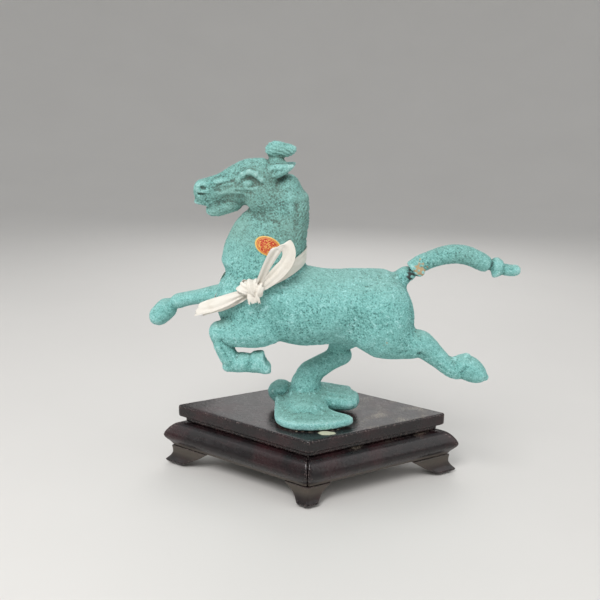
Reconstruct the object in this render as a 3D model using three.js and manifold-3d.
// A bronze galloping horse, one hoof on a swallow, on a lozenge-shaped lacquered wooden stand.
// Millimetres, +Z up. The horse faces -X and its left side faces -Y.
// The pieces are laid out from the centre of the top board's upper face, and the whole group is
// then lifted and centred, so that the exported origin is the middle of the underside.
import * as THREE from "three";
import { mergeVertices } from "three/addons/utils/BufferGeometryUtils.js";
import Module from "manifold-3d";

const wasm = await Module();
wasm.setup();

// ---------- driving dimensions ----------

const GAP = 0.3; // clearance between pieces that touch
const SEAT = 0.15; // half that clearance, on each side of a mitre

// Stand. A lozenge is given by its half-length along X; its half-width along Y follows.
const SLENDER = 0.538; // half-width over half-length of every lozenge of the stand
const BOARD_HALF = 75;
const BOARD_THICK = 7;
const BOARD_CORNER = 1.6; // corner radius
const WAIST_HALF = 70.9;
const WAIST_THICK = 3;
const APRON_TOP = -BOARD_THICK - WAIST_THICK;
const APRON_BOTTOM = -24.2;
const APRON_BULGE = 85; // half-length at the fullest part of the moulding
const APRON_BULGE_Z = -17.6;
const APRON_NECK = 79.9; // half-length at the fillet under the moulding
const APRON_WALL = 11; // thickness of a rail
const FOOT_NECK = 78.8; // half-length where the feet are narrowest
const FOOT_NECK_Z = -28.2;
const TOE = 84; // half-length at the toes of the feet
const TOE_Z = -34;
const FOOT_BOTTOM = -36.2;
const FOOT_WALL = 7.5;

// Horse.
const MIDDLE = -12; // the Y of the plane that halves the horse
const NEAR = MIDDLE - 12; // the Y of the left legs
const WALL = 3; // thickness of the hollow castings

// Fixing under the swallow.
const STUD_X = -3;
const STUD_RADIUS = 2;
const STUD_TOP = 7;
const NUT_ACROSS = 7;
const NUT_THICK = 3.2;
const WASHER_RADIUS = 4.5;
const WASHER_THICK = 0.8;

// Ribbon.
const RIBBON_WIDE = 7;
const BAND_CENTRE = [-26.5, MIDDLE, 77.2];
const BAND_LONG = 29; // half-length of the band's oval
const BAND_ACROSS = 19.5; // half-width of the band's oval
const BAND_SLOPE = THREE.MathUtils.degToRad(30);

// ---------- materials ----------

const finish = (color, roughness, metalness) =>
  new THREE.MeshStandardMaterial({ color, roughness, metalness });
const patina = finish("#6eafa5", 0.85, 0.2);
const lacquer = finish("#2d2628", 0.3, 0);
const steel = finish("#9a9a98", 0.4, 0.9);
const cotton = finish("#f4efe6", 0.95, 0);
const sticker = finish("#b5372c", 0.5, 0);

// ---------- solids ----------

function solid(geometry) {
  const bare = geometry.clone();
  bare.deleteAttribute("normal");
  bare.deleteAttribute("uv");
  const merged = mergeVertices(bare, 1e-4);
  const triVerts = new Uint32Array(merged.index.array);
  const vertProperties = merged.attributes.position.array;
  return new wasm.Manifold(new wasm.Mesh({ numProp: 3, vertProperties, triVerts }));
}

const join = (bodies) => bodies.reduce((whole, body) => whole.add(body));

function largest(body) {
  return body.decompose().reduce((best, b) => (b.volume() > best.volume() ? b : best));
}

const root = new THREE.Group();

function piece(name, body, material) {
  const { vertProperties, triVerts } = body.getMesh();
  const geometry = new THREE.BufferGeometry();
  geometry.setAttribute("position", new THREE.BufferAttribute(vertProperties, 3));
  geometry.setIndex(new THREE.BufferAttribute(triVerts, 1));
  geometry.computeVertexNormals();
  const mesh = new THREE.Mesh(geometry, material);
  mesh.name = name;
  root.add(mesh);
}

// An organic limb: oval rings carried along a smooth curve, with rounded ends. Each station is
// [x, y, z, half-thickness in the plane of the bend, half-thickness across it, lean]. A lean above
// 0 narrows the ring on its outer side, which is the path's direction crossed with +Y.
const CAP_RINGS = 2;

function limb(stations, { grow = 0, around = 12, each = 2 } = {}) {
  const spans = stations.length - 1;
  const vectors = (a, b, c) => stations.map((s) => new THREE.Vector3(s[a], s[b], s[c] ?? 0));
  const path = new THREE.CatmullRomCurve3(vectors(0, 1, 2));
  const girth = new THREE.CatmullRomCurve3(vectors(3, 4, 5));
  const capShare = (end, next) => {
    const length = path.points[end].distanceTo(path.points[next]);
    return Math.min(0.9, stations[end][3] / length) / spans;
  };
  const head = capShare(0, 1);
  const tail = capShare(spans, spans - 1);

  const rings = [];
  for (let k = 0; k < CAP_RINGS; k++) {
    const angle = (Math.PI / 2) * (k / CAP_RINGS);
    rings.push({ t: head * (1 - Math.cos(angle)), size: Math.sin(angle), end: -1 });
  }
  const steps = each * spans;
  for (let k = 0; k <= steps; k++) {
    rings.push({ t: head + (1 - head - tail) * (k / steps), size: 1, end: 0 });
  }
  for (let k = CAP_RINGS - 1; k >= 0; k--) {
    const angle = (Math.PI / 2) * (k / CAP_RINGS);
    rings.push({ t: 1 - tail * (1 - Math.cos(angle)), size: Math.sin(angle), end: 1 });
  }

  const shape = new THREE.SphereGeometry(1, around, rings.length - 1);
  const sideways = new THREE.Vector3(0, 1, 0);
  rings.forEach(({ t, size, end }, row) => {
    const along = path.getTangent(t);
    const across = sideways.clone().addScaledVector(along, -sideways.dot(along)).normalize();
    const outward = new THREE.Vector3().crossVectors(along, across);
    const { x: thick, y: wide, z: lean } = girth.getPoint(t);
    for (let column = 0; column <= around; column++) {
      const angle = (2 * Math.PI * column) / around;
      const side = -Math.cos(angle) * (1 - lean * Math.sin(angle));
      const point = path
        .getPoint(t)
        .addScaledVector(along, end * grow * (1 - size))
        .addScaledVector(across, side * size * (wide + grow))
        .addScaledVector(outward, Math.sin(angle) * size * (thick + grow));
      shape.attributes.position.setXYZ(row * (around + 1) + column, ...point);
    }
  });
  return solid(shape);
}

const casting = (limbs, options) => join(limbs.map((stations) => limb(stations, options)));

const mirrored = (stations) =>
  stations.map(([x, y, ...rest]) => [x, 2 * MIDDLE - y, ...rest]);

// ---------- the horse's limbs ----------

const TORSO = [
  [-50.5, MIDDLE, 69, 9.5, 11],
  [-42, MIDDLE, 67.8, 15.5, 15],
  [-28, MIDDLE, 66.3, 20.3, 18.5],
  [-10, MIDDLE, 65.2, 19.8, 20],
  [8, MIDDLE, 63.6, 19.4, 19.5],
  [24, MIDDLE, 63.4, 20.4, 20.5],
  [36, MIDDLE, 62.4, 21.2, 20.8],
  [45, MIDDLE, 62.8, 16.8, 17],
  [51.2, MIDDLE, 63.5, 9, 10],
];
const TAIL_STUB = [
  [40, MIDDLE, 74, 7, 7],
  [45.5, MIDDLE, 79.6, 5, 5],
  [51, MIDDLE, 84.4, 4.5, 4.5],
];
const NECK = [
  [-28, MIDDLE, 70, 20, 16],
  [-26, MIDDLE, 84, 21.3, 15, 0.15],
  [-22.4, MIDDLE, 97, 20, 12.8, 0.25],
  [-17.6, MIDDLE, 108, 15.6, 10.8, 0.3],
  [-15.4, MIDDLE, 118, 12.8, 9.2, 0.25],
  [-17.5, MIDDLE, 127, 9.5, 8.2],
];
const HEAD = [
  [-17, MIDDLE, 127, 9, 8.4],
  [-25, MIDDLE, 127, 11, 9.4],
  [-32, MIDDLE, 125.8, 11.6, 9],
  [-39, MIDDLE, 124.2, 9.8, 7.6],
  [-46, MIDDLE, 122.3, 7.6, 6.2],
  [-52, MIDDLE, 121.2, 6.9, 6.2],
  [-57, MIDDLE, 120.2, 6.1, 6],
  [-60.3, MIDDLE, 119.2, 4, 4.6],
];
const LOWER_LIP = [
  [-46, MIDDLE, 116, 3.5, 4.5],
  [-54, MIDDLE, 115.6, 2.6, 4.4],
  [-60.5, MIDDLE, 115.6, 1.5, 3.2],
];
const CHIN = [
  [-36, MIDDLE, 117, 5, 5],
  [-43, MIDDLE, 114.4, 4.6, 4.8],
  [-49, MIDDLE, 111.9, 3.7, 4.2],
  [-54.5, MIDDLE, 110.8, 1.8, 2.8],
];
const LEFT_EAR = [
  [-24.5, MIDDLE - 4.5, 130.6, 3.8, 2.8],
  [-17.5, MIDDLE - 6.5, 132.2, 3.5, 2.6],
  [-12.5, MIDDLE - 7.8, 133.9, 2.1, 1.8],
  [-8.6, MIDDLE - 8.2, 135.6, 0.8, 0.8],
];
const FORELOCK = [
  [
    [-19, MIDDLE, 131, 5, 4],
    [-19.4, MIDDLE, 135.4, 4.5, 3.6],
    [-19.6, MIDDLE, 140, 4.6, 3.8],
  ],
  [
    [-24.8, MIDDLE, 141.2, 3, 3],
    [-19, MIDDLE, 142, 4.3, 4],
    [-13.5, MIDDLE, 141.8, 3.4, 3.2],
    [-9, MIDDLE, 142.4, 1.4, 1.6],
  ],
];
const TAIL = [
  [
    [47, MIDDLE, 80.9, 4.8, 4.8],
    [53, MIDDLE, 86, 4.6, 4.6],
    [60.5, MIDDLE, 89.6, 4.6, 4.6],
    [69, MIDDLE, 92, 4.9, 4.8],
    [77, MIDDLE, 91.6, 4.8, 4.6],
    [83.5, MIDDLE, 88.8, 4.5, 4.4],
    [90, MIDDLE, 85.4, 4.2, 4.2],
  ],
  [
    [90.3, MIDDLE, 86.6, 3, 3],
    [93, MIDDLE, 85, 5.1, 4.8],
    [96, MIDDLE, 83.8, 3, 3],
  ],
  [
    [94, MIDDLE, 84.8, 2.8, 2.8],
    [99, MIDDLE, 84.5, 3, 3],
    [104.6, MIDDLE, 84.4, 2.9, 3],
  ],
];
const LEFT_FORELEG = [
  [
    [-18, NEAR + 2, 60, 10, 7],
    [-24, NEAR - 2, 54, 9, 8],
    [-35, NEAR - 3, 52, 7.2, 7],
    [-47, NEAR - 3, 51.6, 5.8, 6.8],
  ],
  [
    [-47, NEAR - 3, 51, 5.2, 6.4],
    [-44.2, NEAR - 3, 45, 4.7, 5.2],
    [-41.6, NEAR - 3, 39.6, 4.9, 4.8],
    [-38.6, NEAR - 3, 34.8, 4.8, 5],
  ],
  [
    [-42.6, NEAR - 3, 36.2, 4.8, 4.8],
    [-35, NEAR - 3, 36.8, 5.2, 5],
    [-29, NEAR - 3, 38, 6, 5.4],
  ],
  [
    [-31.5, NEAR - 3, 40.4, 4.4, 5],
    [-27, NEAR - 3, 37.6, 6.4, 5.8],
    [-20.6, NEAR - 3, 31.8, 1.6, 4.6],
  ],
];
const RIGHT_FORELEG = [
  [
    [-38, -4, 66, 8, 8],
    [-52, 0, 64.6, 5.4, 5.4],
    [-62, 3, 62.3, 4.1, 4.2],
    [-71, 5, 59.9, 4.1, 4.2],
    [-78, 6, 57.2, 4.7, 4.9],
  ],
  [
    [-75.5, 6, 58.6, 4.4, 4.6],
    [-80.5, 6, 54.2, 5.9, 5.2],
    [-85, 6, 49.8, 5.6, 5.8],
    [-89, 6, 46.4, 3, 4.8],
  ],
];
const LEFT_HIND_LEG = [
  [
    [31, NEAR + 3, 64, 13, 8],
    [36, NEAR, 53.4, 13, 9.6],
    [46, NEAR + 1, 47.8, 8.4, 8],
    [56, NEAR + 2, 46.8, 7, 6.4],
    [62.5, NEAR + 2, 41.8, 5.6, 5],
    [68.5, NEAR + 2, 36.8, 4.8, 4.6],
    [74, NEAR + 2, 34.4, 5.4, 5.2],
    [80, NEAR + 2, 33.8, 4.4, 4.6],
  ],
  [
    [71, NEAR + 2, 35.6, 3.6, 4.4],
    [78.5, NEAR + 2, 35.8, 6.8, 5.8],
    [84, NEAR + 2, 33, 5.9, 6.2],
    [89.6, NEAR + 2, 30.2, 2.6, 5],
  ],
];
const RIGHT_HIND_LEG = [
  [
    [26, -4, 58, 13, 9],
    [21, -2, 47, 9.6, 8],
    [15, 0, 38.5, 6, 6],
    [14.8, 0, 32.5, 5.8, 6],
    [14.4, 0, 27.4, 4, 4.6],
  ],
  [
    [20.8, 0, 33.4, 4.2, 5],
    [14, 0, 31, 5, 5.4],
    [7, 0, 27.6, 4.3, 4.6],
    [0, 0, 24, 4.6, 4.8],
    [-7, 0, 20, 4.4, 4.6],
  ],
  [
    [-3, 0, 22.5, 5.4, 5.2],
    [-3.4, 0, 16.5, 6.2, 6],
    [-3.6, 0, 8, 7, 6.6],
  ],
];

// ---------- the swallow ----------

const SWALLOW_BODY = [
  [-15, 2, 7, 5.6, 7],
  [-6, 1, 7, 6.6, 9.5],
  [6, 0, 7, 6.8, 9.5],
  [16, -1, 7, 6, 8.8],
  [27, -2, 6.8, 5.2, 8],
];
const SWALLOW_HEAD = [
  [-9, 2, 8, 6, 6],
  [-17, 3, 8.8, 6.8, 6.8],
  [-24.4, 3.4, 9.2, 5, 5],
];
const WING_OUTLINE = [
  [8, -3],
  [-15, 0],
  [-18.4, -10],
  [-16.8, -21.5],
  [-11, -26.6],
  [-2, -28.4],
  [8, -26.8],
  [16, -23.6],
  [21.8, -20],
  [14, -16.4],
  [8, -11.5],
];
const WING_THICK = 2.4;
const WING_BEVEL = 1.1;
const WING_RISE = 5.6; // how much higher the root lies than the outer edge
const WING_REACH = 26;

// A wing is a flat plate with a soft edge, lifted along a curve towards its root.
function wing() {
  const outline = new THREE.Shape();
  const points = WING_OUTLINE.map(([x, y]) => new THREE.Vector2(x, y));
  outline.moveTo(points[0].x, points[0].y);
  outline.splineThru([...points.slice(1), points[0]]);
  const plate = new THREE.ExtrudeGeometry(outline, {
    depth: WING_THICK,
    curveSegments: 3,
    bevelThickness: WING_BEVEL,
    bevelSize: WING_BEVEL,
    bevelSegments: 2,
  });
  const place = plate.attributes.position;
  for (let i = 0; i < place.count; i++) {
    const out = THREE.MathUtils.clamp(-place.getY(i) / WING_REACH, 0, 1);
    const lift = WING_RISE * (1 - out) ** 1.5;
    place.setZ(i, place.getZ(i) + WING_BEVEL + GAP + lift);
  }
  return solid(plate);
}

const BIRD_AXIS = 0.5; // the Y of the line that halves the swallow

function swallow(grow) {
  const near = wing();
  const far = wing().mirror([0, 1, 0]).translate([0, 2 * BIRD_AXIS, 0]);
  return join([limb(SWALLOW_BODY, { grow }), limb(SWALLOW_HEAD, { grow }), near, far]);
}

// ---------- castings, each cut to its neighbour ----------

const cylinder = (radius, bottom, top, sides = 20) => {
  const shape = new THREE.CylinderGeometry(radius, radius, top - bottom, sides);
  return solid(shape.rotateX(Math.PI / 2).translate(STUD_X, 0, (top + bottom) / 2));
};
const box = (x, y, z, at) => solid(new THREE.BoxGeometry(x, y, z).translate(...at));

const FINE = { around: 20 };
const fineGrown = { around: 20, grow: GAP };
const torsoOutside = limb(TORSO, FINE).add(limb(TAIL_STUB));
const torsoGrown = limb(TORSO, fineGrown).add(limb(TAIL_STUB, { grow: GAP }));
const neckOutside = limb(NECK, FINE);
const headLimbs = [HEAD, LOWER_LIP, CHIN, LEFT_EAR, mirrored(LEFT_EAR)];
const headGrown = casting([NECK, ...headLimbs], fineGrown);

// The body and the neck are cored, and the two hollows meet where the neck is brazed on.
const CORE = { grow: -WALL, around: 10, each: 1 };
const torsoCore = limb(TORSO, CORE);
const neckCore = limb(NECK.slice(0, 4), CORE);
const coreWay = limb(
  [
    [-27, MIDDLE, 68, 10, 9],
    [-25, MIDDLE, 92, 10, 8],
  ],
  { around: 10, each: 1 },
);
piece("torso", torsoOutside.subtract(torsoCore).subtract(coreWay), patina);
const neck = join([neckOutside, limb(HEAD, FINE), casting(headLimbs.slice(1))]);
piece(
  "neck_and_head",
  largest(neck.subtract(torsoGrown).subtract(neckCore).subtract(coreWay)),
  patina,
);
piece("forelock", largest(casting(FORELOCK).subtract(headGrown)), patina);

piece("tail", largest(casting(TAIL).subtract(torsoGrown)), patina);

const bodyGrown = torsoGrown.add(limb(NECK, fineGrown));
for (const [name, limbs] of [
  ["left_foreleg", LEFT_FORELEG],
  ["right_foreleg", RIGHT_FORELEG],
  ["left_hind_leg", LEFT_HIND_LEG],
]) {
  piece(name, largest(casting(limbs).subtract(bodyGrown)), patina);
}
piece(
  "right_hind_leg",
  largest(casting(RIGHT_HIND_LEG).subtract(bodyGrown).subtract(swallow(GAP))),
  patina,
);

const belowBoard = box(400, 400, 40, [0, 0, GAP - 20]);
const studHole = cylinder(STUD_RADIUS + GAP, -60, STUD_TOP + GAP);
piece("swallow", largest(swallow(0).subtract(belowBoard).subtract(studHole)), patina);

// ---------- fixing ----------

const washerTop = APRON_TOP - GAP;
const nutTop = washerTop - WASHER_THICK - GAP;
piece("fixing_stud", cylinder(STUD_RADIUS, nutTop - NUT_THICK - 2, STUD_TOP, 16), steel);
piece("washer", cylinder(WASHER_RADIUS, washerTop - WASHER_THICK, washerTop).subtract(studHole), steel);
piece(
  "nut",
  cylinder(NUT_ACROSS / Math.sqrt(3), nutTop - NUT_THICK, nutTop, 6).subtract(studHole),
  steel,
);

// ---------- stand ----------

const acute = Math.atan(SLENDER); // angle between a side of the lozenge and X
const offset = (half) => half * Math.sin(acute); // distance from the centre to a side

function lozenge(half, corner) {
  const tips = [
    [half, 0],
    [0, half * SLENDER],
    [-half, 0],
    [0, -half * SLENDER],
  ].map(([x, y]) => new THREE.Vector2(x, y));
  const outline = new THREE.Shape();
  tips.forEach((tip, i) => {
    const before = tip.clone().lerp(tips[(i + 3) % 4], corner / tip.distanceTo(tips[(i + 3) % 4]));
    const after = tip.clone().lerp(tips[(i + 1) % 4], corner / tip.distanceTo(tips[(i + 1) % 4]));
    if (i === 0) outline.moveTo(before.x, before.y);
    else outline.lineTo(before.x, before.y);
    outline.quadraticCurveTo(tip.x, tip.y, after.x, after.y);
  });
  outline.closePath();
  return outline;
}

function board(half, bottom, top, bevel) {
  const plate = new THREE.ExtrudeGeometry(lozenge(half - bevel, BOARD_CORNER), {
    depth: top - bottom - 2 * bevel,
    curveSegments: 4,
    bevelThickness: bevel,
    bevelSize: bevel,
    bevelSegments: 1,
  });
  return solid(plate.translate(0, 0, bottom + bevel)).subtract(studHole);
}

piece("top_board", board(BOARD_HALF, -BOARD_THICK + SEAT, 0, 0.4), lacquer);
piece("waist_board", board(WAIST_HALF, APRON_TOP + SEAT, -BOARD_THICK - SEAT, 0.2), lacquer);

// The four sides, anticlockwise from the one that faces +X and +Y. The signs name each quarter.
const SIDES = [
  { name: "back_right", x: 1, y: 1 },
  { name: "back_left", x: -1, y: 1 },
  { name: "front_left", x: -1, y: -1 },
  { name: "front_right", x: 1, y: -1 },
];

// A straight moulding along one side of the stand, mitred on the X and Y axes. The profile's
// points are [distance from the centre, height].
function moulding(profile, { x, y }, clearance) {
  const section = new THREE.Shape(profile.map(([out, z]) => new THREE.Vector2(out, z)));
  const run = new THREE.ExtrudeGeometry(section, { depth: 240, bevelEnabled: false });
  // The section's plane is stood upright and turned to face straight out of this side.
  run.translate(0, 0, -120).rotateX(Math.PI / 2);
  const facing = Math.atan2(y * Math.cos(acute), x * Math.sin(acute));
  run.rotateZ(facing);
  const reach = 200;
  const quarter = box(reach, reach, reach, [
    x * (reach / 2 + clearance),
    y * (reach / 2 + clearance),
    0,
  ]);
  return solid(run).intersect(quarter);
}

const railTop = APRON_TOP - GAP + SEAT;
const inside = offset(APRON_BULGE) - APRON_WALL;
const outAt = (points) => points.map(([half, z]) => new THREE.Vector2(offset(half), z));
const railCurve = new THREE.SplineCurve(
  outAt([
    [WAIST_HALF + 1.5, railTop],
    [APRON_BULGE - 5.6, railTop - 2],
    [APRON_BULGE, APRON_BULGE_Z],
    [APRON_BULGE - 1.1, APRON_BULGE_Z - 2.4],
    [APRON_NECK + 1.6, APRON_BOTTOM + 2.3],
    [APRON_NECK + 0.2, APRON_BOTTOM + 1.2],
    [APRON_NECK, APRON_BOTTOM],
  ]),
);
const railProfile = [
  ...railCurve.getPoints(14).map(({ x, y }) => [x, y]),
  [inside, APRON_BOTTOM],
  [inside, railTop],
];
for (const side of SIDES) {
  piece(side.name + "_apron", moulding(railProfile, side, SEAT), lacquer);
}

// A foot has one wing along each of the two rails that meet at its corner. Each wing is a moulding
// cut by a bracket outline, which is [distance from the corner along the rail, height].
const footTop = APRON_BOTTOM - GAP;
const footCurve = new THREE.SplineCurve(
  outAt([
    [APRON_NECK - 0.2, footTop],
    [FOOT_NECK, FOOT_NECK_Z],
    [FOOT_NECK + 0.8, FOOT_NECK_Z - 2],
    [TOE - 2.8, TOE_Z + 1.9],
    [TOE, TOE_Z],
  ]),
);
const footInside = offset(TOE) - FOOT_WALL;
const footProfile = [
  ...footCurve.getPoints(6).map(({ x, y }) => [x, y]),
  [offset(TOE - 2), TOE_Z - 1],
  [offset(TOE - 4.6), FOOT_BOTTOM],
  [footInside, FOOT_BOTTOM],
  [footInside, footTop],
];
const END_BRACKET = [
  [27.5, footTop],
  [24.8, -25.7],
  [21.6, -27.9],
  [18.4, -30.1],
  [15.4, -31.9],
  [11, -34],
  [7.6, -35.4],
  [6, FOOT_BOTTOM - 1],
];
const SIDE_BRACKET = [
  [15.4, footTop],
  [12, -26.8],
  [8.8, -30.3],
  [6.4, -33.5],
  [5, -35.4],
  [3.6, FOOT_BOTTOM - 1],
];
const CORNER_SPARE = 12; // how far past its corner a bracket's slab reaches

function bracket(points, { x, y }, corner) {
  const outline = new THREE.Shape();
  outline.moveTo(-CORNER_SPARE, footTop + 1);
  outline.lineTo(points[0][0], footTop + 1);
  points.forEach(([along, z]) => outline.lineTo(along, z));
  outline.lineTo(-CORNER_SPARE, FOOT_BOTTOM - 1);
  outline.closePath();
  const slab = new THREE.ExtrudeGeometry(outline, { depth: 60, bevelEnabled: false });
  slab.translate(0, 0, -30).rotateX(Math.PI / 2);
  // The outline runs from the corner along the rail.
  const way = corner === "x" ? -1 : 1;
  slab.rotateZ(Math.atan2(-way * y * Math.sin(acute), way * x * Math.cos(acute)));
  const at = corner === "x" ? [x * APRON_NECK, 0, 0] : [0, y * APRON_NECK * SLENDER, 0];
  return solid(slab.translate(...at));
}

function foot(corner, sides) {
  const points = corner === "x" ? END_BRACKET : SIDE_BRACKET;
  const wings = sides.map((side) =>
    moulding(footProfile, side, -0.05).intersect(bracket(points, side, corner)),
  );
  return largest(join(wings));
}

piece("right_foot", foot("x", SIDES.filter((side) => side.x > 0)), lacquer);
piece("left_foot", foot("x", SIDES.filter((side) => side.x < 0)), lacquer);
piece("back_foot", foot("y", SIDES.filter((side) => side.y > 0)), lacquer);
piece("front_foot", foot("y", SIDES.filter((side) => side.y < 0)), lacquer);

// ---------- ribbon and label ----------

const clear = join([
  limb(TORSO, { around: 20, grow: 2 * GAP }),
  limb(NECK, { around: 20, grow: 2 * GAP }),
  casting(LEFT_FORELEG.slice(0, 1), { grow: 2 * GAP }),
  casting(RIGHT_FORELEG.slice(0, 1), { grow: 2 * GAP }),
]);

function bandRing(grow) {
  const half = RIBBON_WIDE / 2 + grow;
  const profile = [
    [BAND_LONG - 7, -half],
    [BAND_LONG + grow, -half],
    [BAND_LONG + grow, half],
    [BAND_LONG - 7, half],
    [BAND_LONG - 7, -half],
  ].map(([radius, z]) => new THREE.Vector2(radius, z));
  const ring = new THREE.LatheGeometry(profile, 24);
  ring.rotateX(Math.PI / 2).scale(1, BAND_ACROSS / BAND_LONG, 1);
  return solid(ring.rotateY(-BAND_SLOPE).translate(...BAND_CENTRE));
}
piece("ribbon_neck_band", largest(bandRing(0).subtract(clear)), cotton);

const SMALL = { around: 10 };
const knot = (grow) =>
  limb(
    [
      [-35.5, -33.6, 76.4, 3.6, 1.8],
      [-29.5, -34, 76.8, 5, 2.8],
      [-23.6, -33.6, 77.6, 3.6, 1.8],
    ],
    { ...SMALL, grow },
  );
piece("ribbon_knot", largest(knot(0).subtract(clear).subtract(bandRing(GAP))), cotton);

// An upright plate, square to Y, whose outline is a smooth closed curve through [x, z] points.
function plate(points, thick, front) {
  const outline = new THREE.Shape();
  const [first, ...rest] = points.map(([x, z]) => new THREE.Vector2(x, z));
  outline.moveTo(first.x, first.y);
  outline.splineThru([...rest, first]);
  const slab = new THREE.ExtrudeGeometry(outline, { depth: thick, curveSegments: 4, bevelEnabled: false });
  return solid(slab.rotateX(Math.PI / 2).translate(0, front + thick, 0));
}
const LOOP = [
  [-27, 81],
  [-23.6, 90],
  [-19, 98],
  [-14, 102],
  [-9.6, 98.6],
  [-10.4, 91],
  [-18, 83.4],
];
const LOOP_HOLE = [
  [-22, 86.5],
  [-18.5, 93],
  [-14.4, 96.6],
  [-13.8, 92.4],
];
const LOOP_THICK = 5;
const LOOP_FRONT = -37;
const loop = plate(LOOP, LOOP_THICK, LOOP_FRONT)
  .subtract(plate(LOOP_HOLE, LOOP_THICK + 2, LOOP_FRONT - 1))
  .subtract(clear)
  .subtract(knot(GAP))
  .subtract(bandRing(GAP));
piece("ribbon_loop", largest(loop), cotton);

const freeEnd = limb(
  [
    [-35, -34.4, 74.6, 4, 1],
    [-45, -34, 71, 5, 1],
    [-56.4, -33, 67.8, 4.4, 1],
  ],
  SMALL,
);
const longEnd = freeEnd.subtract(clear).subtract(knot(GAP)).subtract(bandRing(GAP));
piece("ribbon_long_end", largest(longEnd), cotton);
const shortEnd = limb(
  [
    [-31, -37.6, 75.4, 2.6, 0.6],
    [-29, -38, 72.4, 3, 0.6],
    [-27.6, -38, 69.8, 2.6, 0.6],
  ],
  SMALL,
);
piece("ribbon_short_end", largest(shortEnd.subtract(clear).subtract(knot(GAP))), cotton);

const LABEL_AT = [-22, MIDDLE - 13, 96.4];
const LABEL_LONG = 6.8;
const LABEL_HIGH = 4.5;
const LABEL_TILT = THREE.MathUtils.degToRad(20);
const LABEL_THICK = 0.4;
const labelPlug = new THREE.CylinderGeometry(1, 1, 16, 24).scale(LABEL_LONG, 1, LABEL_HIGH);
const label = solid(labelPlug.rotateY(LABEL_TILT).translate(...LABEL_AT))
  .intersect(limb(NECK, { grow: GAP + LABEL_THICK, around: 20 }))
  .subtract(limb(NECK, fineGrown));
piece("oval_label", largest(label), sticker);

// ---------- placing ----------

// The pieces hang in one group, whose underside is brought to z = 0 and whose middle to the origin.
const extent = new THREE.Box3().setFromObject(root);
const middle = extent.getCenter(new THREE.Vector3());
root.position.set(-middle.x, -middle.y, -extent.min.z);

export default root;
